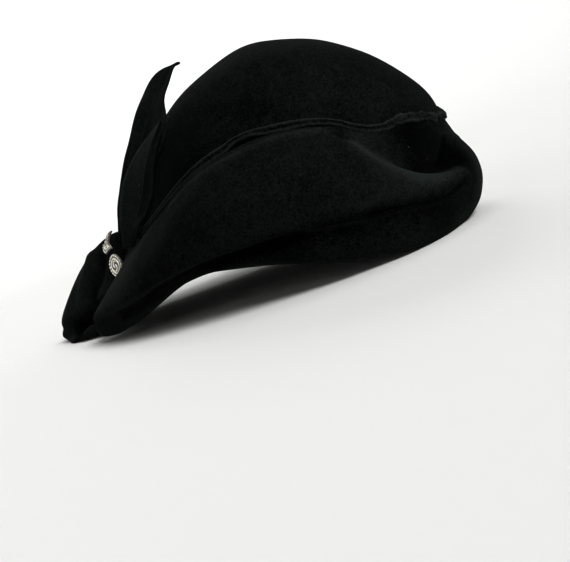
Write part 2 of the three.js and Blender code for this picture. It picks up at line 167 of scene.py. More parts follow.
row = dict(zip(BRIM_COLUMNS, BRIM_SECTIONS.T))
turn = np.radians(row["turn"])
head = 1 / np.hypot(np.sin(turn) / HEAD_HALF_WIDTH, np.cos(turn) / HEAD_HALF_LENGTH)
leg_up = row["head_up"] - LEG_HEIGHT
edge_out = crown_out(turn, row["edge_up"]) + SEAM_GAP + FELT
spread = np.clip((row["band_out"] - row["hem_out"]) / SPREAD_FULL, 0, 1)
rim_up = row["hem_up"] + mix(FOLD_HIGH, FOLD_HIGH / 3, spread)
lip_up = row["crease_up"] - FOLD_HIGH / 2
band_up = mix(rim_up, lip_up, 0.4)
tucked = np.minimum(row["tuck"] / FULL_TUCK, 1)
tuck_out = mix(mix(row["band_out"], row["crease_out"], 0.5), row["crease_out"] - row["tuck"], tucked)
tuck_up = mix(mix(band_up, lip_up, 0.5), lip_up + 1, tucked)
section = [
    (head, row["head_up"]),
    (head + 0.3, leg_up),
    (mix(head, row["hem_out"], 0.4), mix(leg_up, row["hem_up"], 0.7)),
    (row["hem_out"] - 1, row["hem_up"]),
    (row["hem_out"] + mix(1, FOLD_HIGH, spread), rim_up),
    (row["band_out"], band_up),
    (tuck_out, tuck_up),
    (row["crease_out"] - 1, lip_up),
    (row["crease_out"] + 1, row["crease_up"] + FOLD_HIGH / 2),
    (row["belly_out"], mix(row["crease_up"], row["ridge_up"], 0.55)),
    (row["ridge_out"], row["ridge_up"]),
    (mix(row["ridge_out"], edge_out, 0.5) - row["dent"], mix(row["ridge_up"], row["edge_up"], 0.5)),
    (edge_out, row["edge_up"]),
]
brim_net = np.stack([polar(turn, out, up) for out, up in section], 1)
hem = HEM_POINT * BRIM_ACROSS


# Folds of the outer face: how high the roll stands or, if negative, how deep the groove is, how wide,
# and the corners of its line.
RIDGE = np.array([
    [-63, -79, 68], [-59, -84, 61], [-54, -89, 52], [-52, -93, 46], [-49, -100, 40], [-43, -106, 36],
    [-31, -113, 33], [-24, -119, 32],
])
DEEP_DENT = np.array([[-42, -100, 59], [-38, -102, 53], [-30, -106, 47]])
DENT_SHADE = np.array([[-35, -105, 61], [-24, -109, 54], [-12, -113, 44], [-14, -115, 38]])
DENT_FOOT = np.array([[-48, -94, 51], [-41, -98, 44], [-33, -104, 39], [-26, -112, 36], [-21, -118, 36]])
UPPER_ROLL = np.array([[-36, -104, 62], [-28, -108, 61], [-18, -111, 57], [-5, -114, 52], [7, -116, 47]])
FRONT_CREASE = np.array([
    [-25, -120, 26], [-33, -117, 24], [-42, -112, 22], [-53, -106, 24], [-64, -98, 26], [-73, -90, 28],
    [-81, -80, 30],
])
SIDE_CREASE = np.array([
    [-73, -90, 28], [-81, -80, 30], [-89, -66, 33], [-94, -50, 35], [-97, -34, 36], [-99, -16, 36],
])
PANEL_LIP = np.array([
    [-52, 128, 18], [-68, 104, 23], [-79, 82, 27], [-84, 62, 31], [-92, 41, 35], [-97, 19, 38],
    [-100, 1, 39], [-101, -16, 38], [-98, -33, 37],
])
UNDER_LIP = np.array([
    [-60, 108, 16], [-71, 82, 21], [-80, 58, 26], [-86, 36, 31], [-91, 17, 33], [-94, 0, 34],
    [-95, -20, 34], [-94, -40, 33],
])
PANEL_EDGE = np.array([
    [-80, 35, 71], [-84, 14, 80], [-86, -1, 84], [-85, -17, 86], [-83, -30, 87], [-79, -43, 87],
    [-75, -56, 84], [-69, -66, 81],
])
LOBE_RIDGE = np.array([[-2, 155, 56], [-7, 158, 49], [-8, 166, 40], [-10, 173, 29]])
LOBE_VALLEY = np.array([[-11, 141, 51], [-13, 145, 42], [-15, 153, 35], [-16, 158, 28]])
LOBE_LIP = np.array([[-14, 162, 25], [-9, 176, 22], [-5, 185, 20]])
LOBE_OPENING = np.array([[-12, 168, 10], [-8, 178, 9], [-4, 186, 8]])
BRIM_FOLDS = [
    (2.4, 5.0, RIDGE),
    (-3.0, 12, DEEP_DENT),
    (-1.6, 4.5, DENT_FOOT),
    (1.6, 4.0, UPPER_ROLL),
    (-2.4, 3.4, FRONT_CREASE),
    (-1.2, 3.0, SIDE_CREASE),
    (-1.6, 4.0, UNDER_LIP),
    (0.8, 2.2, PANEL_EDGE),
    (2.0, 4.5, LOBE_RIDGE),
    (-3.0, 5.0, LOBE_VALLEY),
    (1.2, 3.5, LOBE_LIP),
    (-6.5, 6.5, LOBE_OPENING),
]
# Painted light of the same form: highlights painted along the rolls, shade painted in the folds and
# where little light falls.
BRIM_PAINTED_LIGHT = [
    (0.95, 6.5, RIDGE),
    (0.2, 16, np.array([[-57, -102, 33], [-68, -95, 36], [-76, -87, 41]])),
    (-0.8, 14, DENT_SHADE),
    (-0.3, 5, DENT_FOOT),
    (0.45, 4.5, UPPER_ROLL),
    (-0.4, 10, np.array([[-42, -101, 57], [-36, -103, 51]])),
    (0.5, 8, np.array([[-5, -116, 46], [-10, -117, 42]])),
    (-0.45, 4, FRONT_CREASE),
    (-0.3, 3.5, SIDE_CREASE),
    (-0.3, 9, np.array([[-93, -20, 30], [-90, -50, 27], [-80, -76, 23], [-62, -96, 18], [-42, -108, 16]])),
    (-0.22, 16, np.array([[-5, -120, 41], [-14, -123, 30], [-15, -120, 18], [-38, -106, 12]])),
    (0.1, 3.5, PANEL_LIP),
    (-0.75, 4.5, UNDER_LIP),
    (0.4, 4.5, np.array([[-57, 108, 11], [-66, 84, 16], [-72, 66, 22], [-77, 50, 26], [-83, 30, 30]])),
    (0.45, 3, PANEL_EDGE),
    (-0.42, 24, np.array([[-91, 29, 64], [-88, 43, 57], [-88, 57, 47]])),
    (-0.7, 8, np.array([[-14, 116, 60], [-26, 108, 58]])),
    (0.25, 6, LOBE_RIDGE),
    (-0.4, 6, LOBE_VALLEY),
    (0.15, 4, LOBE_LIP),
    (-0.9, 9, LOBE_OPENING),
]


def beside_line(points, line):
    """Distance from each point to the nearest part of a line through corners: to each stretch, the point
    is projected on it and held between its ends."""
    nearest = np.full(points.shape[:-1], np.inf)
    for start, end in zip(line[:-1], line[1:]):
        along = end - start
        share = np.clip((points - start) @ along / (along @ along), 0, 1)
        nearest = np.minimum(nearest, np.linalg.norm(points - start - share[..., None] * along, axis=-1))
    return nearest


def pressed(points, folds):
    """How far each point stands out for the folds beside it: high times a bell curve of the distance to
    the fold's line, where wide is the distance at which it has sunk to a third."""
    return sum(high * np.exp(-((beside_line(points, line) / wide) ** 2)) for high, wide, line in folds)


def neighbours(points, closed):
    """The points with more rows at their ends: where they close into a ring, the last row before them
    and the first two after them, otherwise one row at each end that runs straight on."""
    if closed:
        return np.concatenate([points[-1:], points, points[:2]])
    return np.concatenate([[2 * points[0] - points[1]], points, [2 * points[-1] - points[-2]]])


def spline(points, steps, closed):
    """Uniform cubic B-spline through rows of control points: each new row is the sum of four rows,
    weighted by the cubic basis, with so many steps between two rows."""
    rows = neighbours(points, closed)
    spans = len(points) if closed else len(points) - 1
    at = np.arange(spans * steps + (not closed)) / steps
    first = np.minimum(np.floor(at).astype(int), spans - 1)
    t = (at - first).reshape((-1,) + (1,) * (points.ndim - 1))
    s = 1 - t
    weights = [s**3 / 6, (3 * t**3 - 6 * t**2 + 4) / 6, (3 * s**3 - 6 * s**2 + 4) / 6, t**3 / 6]
    rows = rows if closed else np.concatenate([rows, rows[-1:]])
    return sum(weight * rows[first + k] for k, weight in enumerate(weights))


def sharpened(points, closed):
    """Control points moved out by a sixth of their second difference, so that the curve drawn from
    them passes close to where they were."""
    rows = neighbours(points, closed)
    before = rows[: len(points)]
    after = rows[2 : len(points) + 2]
    return points - (before + after - 2 * points) / 6


def skin(net, along, across, closed):
    """Surface over a net of points: a spline along the sharpened rows, then one across them."""
    rows = spline(sharpened(net, closed), along, closed)
    return np.swapaxes(spline(np.swapaxes(rows, 0, 1), across, False), 0, 1)


def grid_normals(grid, closed, domed=False):
    """Unit cross product of the differences across and along the grid. Where the last column is the one
    top point of a dome, its normal is straight up."""
    over = np.gradient(grid, axis=1)
    down = np.roll(grid, -1, 0) - np.roll(grid, 1, 0) if closed else np.gradient(grid, axis=0)
    normal = np.cross(over, down)
    if domed:
        normal[:, -1] = (0, 0, 1)
    return normal / np.linalg.norm(normal, axis=-1, keepdims=True)


def unevenness(points, wave, seed):
    """Soft bumps of about -1 to 1: a dozen sine waves of lengths near wave, each along a random
    direction, added up and divided by the root of their number."""
    count = 12
    random = np.random.default_rng(seed)
    directions = random.normal(size=(count, 3))
    directions /= np.linalg.norm(directions, axis=1, keepdims=True)
    lengths = wave * random.uniform(0.7, 1.4, (count, 1))
    phases = random.uniform(0, 2 * np.pi, count)
    return np.sin(points @ (2 * np.pi * directions / lengths).T + phases).sum(-1) / np.sqrt(count)


def clear_of_crown(points, clear):
    """Points below the crown's shoulder move out, away from the axis, until they are clear of it."""
    turn = np.arctan2(-points[..., 0], -points[..., 1])
    up = points[..., 2]
    needed = crown_out(turn, np.minimum(up, CROWN_SHOULDER)) + clear
    out = np.hypot(points[..., 0], points[..., 1])
    moved = polar(turn, np.maximum(out, needed), up)
    return np.where((up > CROWN_SHOULDER)[..., None], points, moved)


def settle(points, clear, floor):
    """Pressed flat at the floor, and beyond the hem kept outside the crown."""
    raised = points.copy()
    raised[..., 2] = np.maximum(raised[..., 2], floor)
    raised[:, hem + 1 :] = clear_of_crown(raised[:, hem + 1 :], clear)
    return raised


brim_front = skin(brim_net, BRIM_AROUND, BRIM_ACROSS, True)
# Painted light and shade on the brim, from its table.
brim_painted_light_grid = pressed(brim_front, BRIM_PAINTED_LIGHT)
stand_out = 0.35 * unevenness(brim_front, 34, 1) + pressed(brim_front, BRIM_FOLDS)
stand_out[:, :hem] = 0
brim_front += grid_normals(brim_front, True) * stand_out[..., None]
brim_front = settle(brim_front, SEAM_GAP + FELT, 0)
brim_back = settle(brim_front - FELT * grid_normals(brim_front, True), SEAM_GAP, FELT)
brim_back[:, 0, 2] = brim_front[:, 0, 2]


def numbered(rows, width):
    """Vertex numbers of a grid that closes: its first row comes again after its last."""
    number = np.arange(rows * width).reshape(rows, width)
    return np.concatenate([number, number[:1]])


def grid_faces(number):
    """Faces over a grid of vertex numbers. They face the side that grid_normals points to."""
    corners = [number[:-1, :-1], number[:-1, 1:], number[1:, 1:], number[1:, :-1]]
    return np.stack(corners, -1).reshape(-1, 4)


def turned_over(faces):
    """The same faces with their corners in the other direction, so that they face the other way."""
    return faces[:, [0, 3, 2, 1]]


def quads(first, second):
    """Faces between two lines of vertex numbers, each face from one step to the next."""
    return np.stack([first[:-1], first[1:], second[1:], second[:-1]], -1)


def wall(front, back, closed):
    """Corners and faces of a felt wall: the front grid, the back grid turned over, and round each edge
    a line that stands a little further out than both, so that the cut edge is rounded."""
    rows, width = front.shape[:2]
    number = numbered(rows, width) if closed else numbered(rows, width)[:-1]
    faces = [grid_faces(number), turned_over(grid_faces(number)) + rows * width]
    points = np.concatenate([front.reshape(-1, 3), back.reshape(-1, 3)])
    if closed:
        loops = [number[:, 0], number[::-1, -1]]
    else:
        sides = [number[:, 0], number[-1, 1:], number[-2::-1, -1], number[0, -2::-1]]
        loops = [np.concatenate(sides)]
    for loop in loops:
        near, far = points[loop[:-1]], points[loop[:-1] + rows * width]
        tangent = np.roll(near, -1, 0) - np.roll(near, 1, 0)
        outward = np.cross(tangent, far - near)
        outward /= np.linalg.norm(outward, axis=1, keepdims=True) + 1e-9
        rim = (near + far) / 2 + outward * FELT * EDGE_BULGE
        line = len(points) + np.append(np.arange(len(rim)), 0)
        points = np.concatenate([points, rim])
        faces += [quads(loop, line), quads(line, loop + rows * width)]
    return points, np.concatenate(faces).tolist()


class Signal:
    """A node's output. Sums, differences, products and comparisons of it add Math nodes."""

    def __init__(self, finish, socket):
        self.finish = finish
        self.socket = socket

    def math(self, operation, first, second):
        return self.finish.node("Math", {"operation": operation}, {0: first, 1: second})

    def __add__(self, other):
        return self.math("ADD", self, other)

    def __radd__(self, other):
        return self.math("ADD", other, self)

    def __sub__(self, other):
        return self.math("SUBTRACT", self, other)

    def __rsub__(self, other):
        return self.math("SUBTRACT", other, self)

    def __mul__(self, other):
        return self.math("MULTIPLY", self, other)

    def __rmul__(self, other):
        return self.math("MULTIPLY", other, self)

    def __lt__(self, other):
        return self.math("LESS_THAN", self, other)

    def __gt__(self, other):
        return self.math("GREATER_THAN", self, other)


class Finish:
    """A new material. node() adds one node: its settings first, then its sockets' values or links."""

    def __init__(self, name):
        self.material = bpy.data.materials.new(name)
        self.material.use_nodes = True
        self.tree = self.material.node_tree
        self.tree.nodes.clear()

    def node(self, kind, settings=None, sockets=None, output=0):
        made = self.tree.nodes.new("ShaderNode" + kind)
        for name, value in (settings or {}).items():
            setattr(made, name, value)
        for name, value in (sockets or {}).items():
            if isinstance(value, Signal):
                self.tree.links.new(value.socket, made.inputs[name])
            else:
                made.inputs[name].default_value = value
        return Signal(self, made.outputs[output])

    def noise(self, place, scale, detail=2.0, roughness=0.5, distortion=0.0):
        """Noise texture, from 0 to 1, with scale waves to the metre."""
        sockets = {"Vector": place, "Scale": scale, "Detail": detail}
        sockets |= {"Roughness": roughness, "Distortion": distortion}
        return self.node("TexNoise", {}, sockets)

    def blend(self, share, low, high):
        """Colour between low and high."""
        return self.node("Mix", {"data_type": "RGBA"}, {0: share, 6: low, 7: high}, 2)

    def surface(self, shader):
        """Joins the shader to the material's output."""
        out = self.tree.nodes.new("ShaderNodeOutputMaterial")
        self.tree.links.new(shader.socket, out.inputs["Surface"])
        return self.material


def felt_finish(name, dark, light, painted_highlight, nap, roughness):
    """Brushed fur felt: near-black, mottled where the nap lies differently, with single pale specks of
    lint and a weak sheen. The attribute read here is painted light: where it is positive it paints
    highlights, where it is negative it paints shade into folds and where little light falls."""
    finish = Finish(name)
    place = finish.node("TexCoord", {}, {}, "Object")
    painted_light = finish.node("Attribute", {"attribute_name": "painted_light"}, {}, "Fac")
    brushed = finish.noise(place, 60, 3, 0.6, 0.6) - 0.5
    mottled = finish.noise(place, 260, 4, 0.65) - 0.5
    tufted = finish.noise(place, 720, 3, 0.7) - 0.5
    fibre = finish.noise(place, 1500, 2, 0.7) - 0.5
    shade = brushed * 0.8 + mottled * 0.8 + tufted * 1.9 + fibre * 1.8
    # Painted light: the attribute moves the colour from dark toward light, and its highest values on
    # toward the painted highlight colour.
    colour = finish.blend(shade + 0.42 + painted_light, dark, light)
    colour = finish.blend(shade * 0.5 + painted_light - 0.35, colour, painted_highlight)
    cells = finish.node("TexVoronoi", {}, {"Vector": place, "Scale": 62}, "Distance")
    lint = (cells < 0.03) * 0.16
    colour = finish.blend(lint, colour, (0.3, 0.31, 0.29, 1))
    height = mottled * 0.6 + tufted * 0.6 + fibre * 0.4
    bump = finish.node("Bump", {}, {"Height": height, "Distance": nap, "Strength": 0.8})
    shader = finish.node("BsdfPrincipled", {}, {
        "Base Color": colour,
        "Roughness": roughness,
        "Specular IOR Level": 0.02,
        "Sheen Weight": 0.018,
        "Sheen Roughness": 0.45,
        "Sheen Tint": (0.8, 0.9, 0.88, 1),
        "Normal": bump,
    })
    return finish.surface(shader)


BLACK = (0.0002, 0.0003, 0.00025, 1)
BRUSHED_BLACK = (0.0105, 0.0126, 0.0116, 1)
# Paler colour that only painted highlights reach.
PAINTED_HIGHLIGHT_BLACK = (0.0200, 0.0245, 0.0230, 1)
felt = felt_finish("velvet_felt", BLACK, BRUSHED_BLACK, PAINTED_HIGHLIGHT_BLACK, 0.0009, 0.95)


def smooth_mesh(name, points, faces, finish):
    """A smooth mesh object from corners in metres."""
    mesh = bpy.data.meshes.new(name)
    mesh.from_pydata(points, [], faces)
    mesh.shade_smooth()
    mesh.materials.append(finish)
    made = bpy.data.objects.new(name, mesh)
    bpy.context.scene.collection.objects.link(made)
    return made


def piece(name, points, faces, finish, node, attribute, values):
    """A piece from corners in millimetres, riding on the hat in place of its CAD node. Its finish reads
    the attribute, which has a value at each corner."""
    made = smooth_mesh(name, (points + AXIS_PLACE) * MM, faces, finish)
    made.data.attributes.new(attribute, "FLOAT", "POINT").data.foreach_set("value", values)
    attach(made, "root")
    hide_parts(node)
    return made


brim_points, brim_faces = wall(brim_front, brim_back, True)
brim_painted_light = np.zeros(len(brim_points))
brim_painted_light[: brim_painted_light_grid.size] = brim_painted_light_grid.ravel()
piece("brim_felt", brim_points, brim_faces, felt, "brim", "painted_light", brim_painted_light)


# Crown: the blocked dome of the same felt, hollow, its nap brushed smooth. Its foot stands just above
# the brim's head line.
FOOT_GAP = 0.4
CROWN_FOOT_TOP = 40
CROWN_UP = 6

foot = brim_front[:, 0]
foot_turn = np.arctan2(-foot[:, 0], -foot[:, 1])
foot_up = foot[:, 2] + FOOT_GAP
rings = CROWN_RINGS[CROWN_RINGS[:, 0] > CROWN_FOOT_TOP]
mirrored = rings[-2] * [1, 0, 0, -1] + [0, rings[-2][2], rings[-2][1], 0]
ring_sides = [
    polar(foot_turn, 1, up) * [half, (back - front) / 2, 1] + [0, (front + back) / 2, 0]
    for up, front, back, half in [*rings, mirrored]
]
crown_net = np.stack([on_crown(foot_turn, foot_up), *ring_sides], 0)
crown_rows = spline(sharpened(crown_net, False), CROWN_UP, False)[: -CROWN_UP]
crown_front = np.swapaxes(crown_rows, 0, 1)
crown_front[:, -1] = crown_front[:, -1].mean(0)
crown_front[:, 0] = crown_net[0]

# The crown has one soft dent behind its top. Painted shade lies on it behind the leaves, where they
# shade it, and a little painted shade lies low at its side and front.
CROWN_FOLDS = [(-1.6, 16, np.array([[-31, -3, 140], [-50, -12, 129], [-61, -17, 118]]))]
CROWN_PAINTED_SHADE = [
    (-0.8, 25, np.array([[-58, 44, 100], [-68, 36, 88], [-75, 30, 80]])),
    (-0.25, 34, np.array([[-66, -20, 108], [-60, 10, 112]])),
    (-0.12, 26, np.array([[-15, -99, 94], [-15, -107, 80], [-11, -111, 70]])),
]

crown_normal = grid_normals(crown_front, True, True)
# Painted shade on the crown, from its table.
crown_painted_shade_grid = pressed(crown_front, CROWN_PAINTED_SHADE)
stand_out = 0.3 * unevenness(crown_front, 40, 2) + pressed(crown_front, CROWN_FOLDS)
crown_front += crown_normal * stand_out[..., None]
crown_back = crown_front - FELT * crown_normal
crown_back[:, 0, 2] = crown_front[:, 0, 2]


def dome(front, back):
    """A wall whose last column is one point on each side. It ends one column sooner, without its upper
    rim, and from there a fan of triangles goes to each top point."""
    points, faces = wall(front[:, :-1], back[:, :-1], True)
    rows, width = len(front), front.shape[1] - 1
    end = 2 * rows * width + rows
    below_rim = [face for face in faces if max(face) < end]
    outer = numbered(rows, width)[:, -1]
    inner = outer + rows * width
    top = np.full(rows, end)
    fan = np.stack([outer[:-1], top, outer[1:]], -1).tolist()
    under_fan = np.stack([inner[:-1], inner[1:], top + 1], -1).tolist()
    return np.concatenate([points[:end], front[:1, -1], back[:1, -1]]), below_rim + fan + under_fan


crown_points, crown_faces = dome(crown_front, crown_back)
crown_painted_shade = np.zeros(len(crown_points))
crown_painted_shade[: crown_painted_shade_grid[:, :-1].size] = crown_painted_shade_grid[:, :-1].ravel()
crown_painted_shade[-2:] = crown_painted_shade_grid[0, -1]
piece("crown_felt", crown_points, crown_faces, felt, "crown", "painted_light", crown_painted_shade)


# Edge strip: the narrow rolled cut edge of the same felt along the seam of crown and brim. It has two
# lips with a groove between them, and over the front right its raw edge is gathered and rough.
STRIP_STEPS = 26
STRIP_SIDES = 28
STRIP_CLEAR = 0.8
STRIP_RAISED = 2.3
SMALL_TURN = 0.005
SMALL_RISE = 0.5
STRIP_COLUMNS = ["turn", "high", "thick", "groove", "sag", "lift", "rough"]
STRIP_PLACES = np.array([
    [-35, 4.4, 2.6, 0.25, 0, 0, 0.1],
    [-18, 4.0, 2.6, 0.20, 1.2, 0, 0.3],
    [-9, 3.8, 2.8, 0.05, 2.2, 0, 0.6],
    [-4, 4.0, 3.0, 0.05, 2.6, 0.2, 0.8],
    [0, 4.4, 3.4, 0.05, 2.4, 0.5, 1.0],
    [6, 4.8, 3.2, 0.08, 1.2, 0.1, 1.0],
    [14, 5.6, 3.3, 0.08, 0.5, 0.1, 1.0],
    [22, 5.8, 3.3, 0.08, 1.2, 0.1, 0.9],
    [27, 4.8, 2.8, 0.30, 3.0, 0.1, 0.4],
    [33, 4.4, 2.6, 0.40, 2.8, 0, 0.15],
    [42, 4.0, 2.8, 0.40, 0.5, 0.1, 0.1],
    [48, 4.4, 2.8, 0.35, 0.5, 0.1, 0.1],
    [56, 5.6, 2.8, 0.45, 1.3, 0, 0.1],
    [64, 5.0, 2.8, 0.40, 1.1, 0, 0.1],
    [70, 3.8, 2.8, 0.20, 0.1, 0.5, 0.1],
    [76, 4.0, 2.8, 0.25, 0.2, 0.3, 0.1],
    [82, 5.2, 2.8, 0.45, 1.5, 0, 0.1],
    [95, 5.2, 2.8, 0.40, 1.5, 0, 0.1],
    [108, 4.4, 2.6, 0.35, 1.4, 0, 0.1],
    [122, 3.2, 2.2, 0.15, 1.0, 0, 0.1],
    [160, 3.6, 2.4, 0.20, 0.8, 0, 0.15],
    [240, 4.6, 2.8, 0.30, 0.8, 0, 0.15],
    [300, 4.6, 2.8, 0.30, 0.5, 0, 0.1],
])

edge_line = skin(brim_net, STRIP_STEPS, 1, True)[:, -1]
edge_turn = np.arctan2(-edge_line[:, 0], -edge_line[:, 1])
strip = {
    name: np.interp(np.degrees(edge_turn), STRIP_PLACES[:, 0], STRIP_PLACES[:, k], period=360)
    for k, name in enumerate(STRIP_COLUMNS)
}
strip_up = edge_line[:, 2] + SEAM_GAP + STRIP_RAISED - strip["sag"]
strip_middle = on_crown(edge_turn, strip_up)
beside = on_crown(edge_turn + SMALL_TURN, strip_up) - strip_middle
above = on_crown(edge_turn, strip_up + SMALL_RISE) - strip_middle
strip_normal = np.cross(above, beside)
strip_normal /= np.linalg.norm(strip_normal, axis=1, keepdims=True)
strip_run = np.roll(strip_middle, -1, 0) - np.roll(strip_middle, 1, 0)
strip_upward = np.cross(strip_normal, strip_run)
strip_upward /= np.linalg.norm(strip_upward, axis=1, keepdims=True)
strip_upward *= np.sign(strip_upward[:, 2:])
round_strip = np.linspace(0, 2 * np.pi, STRIP_SIDES, endpoint=False)
groove = 1 - strip["groove"][:, None] * np.exp(-(((round_strip - np.pi / 2) / 0.45) ** 2))
rise = np.cos(round_strip) * strip["high"][:, None] / 2
stand = strip["thick"][:, None] * (1 + np.sin(round_strip) * groove) / 2
stand += STRIP_CLEAR + strip["lift"][:, None]
strip_points = (
    strip_middle[:, None]
    + strip_upward[:, None] * rise[..., None]
    + strip_normal[:, None] * stand[..., None]
)
nubs = unevenness(strip_points, 6.5, 3) * 0.55 + unevenness(strip_points, 2.6, 4) * 0.3
ragged = nubs * strip["rough"][:, None]
strip_points += strip_normal[:, None] * (ragged * np.maximum(np.sin(round_strip), -0.2))[..., None]
strip_points += strip_upward[:, None] * (ragged * np.cos(round_strip))[..., None]
strip_number = numbered(len(strip_points), STRIP_SIDES)
strip_number = np.concatenate([strip_number, strip_number[:, :1]], 1)
strip_faces = turned_over(grid_faces(strip_number)).tolist()

EDGE_BLACK = (0.0004, 0.0005, 0.0005, 1)
EDGE_GREY = (0.016, 0.0185, 0.0175, 1)
edge_felt = felt_finish("cut_felt_edge", EDGE_BLACK, EDGE_GREY, PAINTED_HIGHLIGHT_BLACK, 0.0008, 0.95)
# Painted light on the strip: painted highlights on its two lips and on the nubs that stand out, painted
# shade in the groove between them.
lips = 0.55 * np.exp(-((np.abs(round_strip - np.pi / 2) - 0.9) / 0.4) ** 2)
seam = np.exp(-(((round_strip - np.pi / 2) / 0.3) ** 2)) * strip["groove"][:, None]
strip_painted_light = lips - 1.2 * seam + 0.3 * ragged
piece(
    "rolled_edge", strip_points.reshape(-1, 3), strip_faces, edge_felt, "edge_strip",
    "painted_light", strip_painted_light.ravel(),
)


# Leaves: two pointed strips of the same felt, each folded lengthwise, sewn in at the knot and standing
# up beside the crown. Their edges are cut, not turned.
LEAF_ALONG = 10
LEAF_ACROSS = 12
STRIP_TOP_BACK = 67
STRIP_THICK = 3.0
LEAF_COLUMNS = ["x", "y", "up", "near_wide", "near_turn", "far_wide", "far_turn"]
TALL_LEAF = np.array([
    [-33, 101.5, 56.6, 10.5, 197, 6.5, 333],
    [-36, 91, 75, 11.5, 195, 10.5, 11],
    [-41, 77, 91, 12.5, 194, 21.5, 31],
    [-43, 64.5, 106, 14, 192, 34, 34],
    [-42, 52.5, 120, 14, 192, 27, 32],
    [-36, 44.5, 133, 14, 189, 12.5, 29],
    [-27, 39.5, 143, 15, 191, 9, 27],
    [-22, 36, 149.5, 11, 190, 6.5, 20],
    [-18.5, 31, 153, 6, 190, 3.5, 15],
    [-17, 26, 152.5, 0.8, 190, 0.8, 10],
])
SHORT_LEAF = np.array([
    [-46, 93, 56.1, 10, 210, 5.5, 33],
    [-54, 77, 69, 19, 205, 11.5, 37],
    [-60, 63, 81, 25.5, 203, 12.5, 35],
    [-63, 52.5, 94, 25.5, 203, 9.5, 31],
    [-63, 44, 106, 20.5, 206, 7, 26],
    [-61, 34.5, 116, 12, 215, 4, 15],
    [-57.6, 31.5, 121, 0.6, 190, 0.6, 340],
])


def leaf(name, table, pale, seed, node):
    """A leaf: each section runs from one blade's edge over the fold line to the other's, and the skin
    over the sections is kept clear of the edge strip at its foot and of the crown above."""
    place = dict(zip(LEAF_COLUMNS, table.T))
    fold = table[:, :3]
    near = polar(np.radians(place["near_turn"]), place["near_wide"], 0)
    far = polar(np.radians(place["far_turn"]), place["far_wide"], 0)
    net = np.stack([fold + near, fold + near / 2, fold, fold, fold + far / 2, fold + far], 1)
    raw = skin(net, LEAF_ALONG, LEAF_ACROSS, False)
    raw += grid_normals(raw, False) * (0.3 * unevenness(raw, 22, seed))[..., None]

    def gap(points):
        """Distance kept from the crown: wider at the foot, where the edge strip lies in between."""
        share = np.clip((points[..., 2] - STRIP_TOP_BACK) / 10, 0, 1)
        return mix(SEAM_GAP + STRIP_THICK + 2 * FOOT_GAP, SEAM_GAP, share**2 * (3 - 2 * share))

    front = clear_of_crown(raw, gap(raw) + FELT)
    back = front - FELT * grid_normals(front, False)
    back = clear_of_crown(back, gap(back))
    points, faces = wall(front, back, False)
    across = np.linspace(-1, 1, front.shape[1])
    # Painted light on the leaf: the near blade lit by the given amount, the far blade in painted shade, a
    # painted highlight along the fold line, paler along the cut edges, and painted shade at the foot. nap
    # holds these values.
    edge = np.exp(-(((np.abs(across) - 1) / 0.07) ** 2))
    fold_line = np.exp(-(((across + 0.05) / 0.07) ** 2))
    blades = np.where(across < 0, pale, -0.7) + 0.8 * edge + 0.35 * fold_line
    foot = -0.5 * np.exp(-((np.arange(len(front)) / LEAF_ALONG / 0.6) ** 2))
    nap = np.zeros(len(points))
    nap[: 2 * front[..., 0].size] = np.tile((blades + foot[:, None]).ravel(), 2)
    return piece(name, points, faces, felt, node, "painted_light", nap)


tall_leaf = leaf("tall_leaf_felt", TALL_LEAF, -0.05, 5, "leaf_tall")
short_leaf = leaf("short_leaf_felt", SHORT_LEAF, 0.3, 6, "leaf_short")


# Clips: two small cast ornaments of pewter-coloured metal, pinned at the knot. The right one is a
# pointed oval, the left one a slim drop with a neck, bent at its tip and hooked at its foot. Both have a
# beaded rim, a second raised line inside it, and a scroll in relief on a domed middle.
CLIP_THICK = 2.2
CLIP_ROUND = 192
CLIP_OUT = 60
CLIP_LOWEST = 0.25
CLIP_RELIEF = 0.8
PLATE_HIGH = 0.35
MIDDLE_HIGH = 0.45
RIM_PLACE = 0.88
LINE_PLACE = 0.6
SCROLL_PLACE = 0.52
SCROLL_WINDS = 2.4
BEADS = 20
# bend, neck and hook tell how far the tip leans over, how much slimmer the upper part is, and how far
# the foot reaches out to one side.
CLIP_COLUMNS = ["x", "y", "up", "turn", "rise", "lean", "long", "wide", "bend", "neck", "hook"]
CLIPS = {
    "clip_right": [-25, 122, 45.6, 92, 12, 0, 17, 10.5, 0, 0, 0],
    "clip_left": [-11.4, 130.6, 62.2, 100, 15, 24, 17.2, 7.4, 3.2, 0.66, 1.9],
}


def pewter_finish():
    """Cast metal: bright and worn on what stands up, dull and dark in the hollows, slightly pitted."""
    finish = Finish("pewter")
    place = finish.node("TexCoord", {}, {}, "Object")
    hollow = finish.node("Attribute", {"attribute_name": "hollow"}, {}, "Fac")
    pitted = finish.noise(place, 900, 3, 0.6)
    dull = hollow * 0.9 + pitted * 0.5 - 0.2
    colour = finish.blend(dull, (0.92, 0.9, 0.8, 1), (0.05, 0.047, 0.04, 1))
    bump = finish.node("Bump", {}, {"Height": pitted, "Distance": 0.0002, "Strength": 0.4})
    shader = finish.node("BsdfPrincipled", {}, {
        "Base Color": colour,
        "Metallic": 0.35,
        "Roughness": 0.32 + dull * 0.3,
        "Normal": bump,
    })
    return finish.surface(shader)


pewter = pewter_finish()


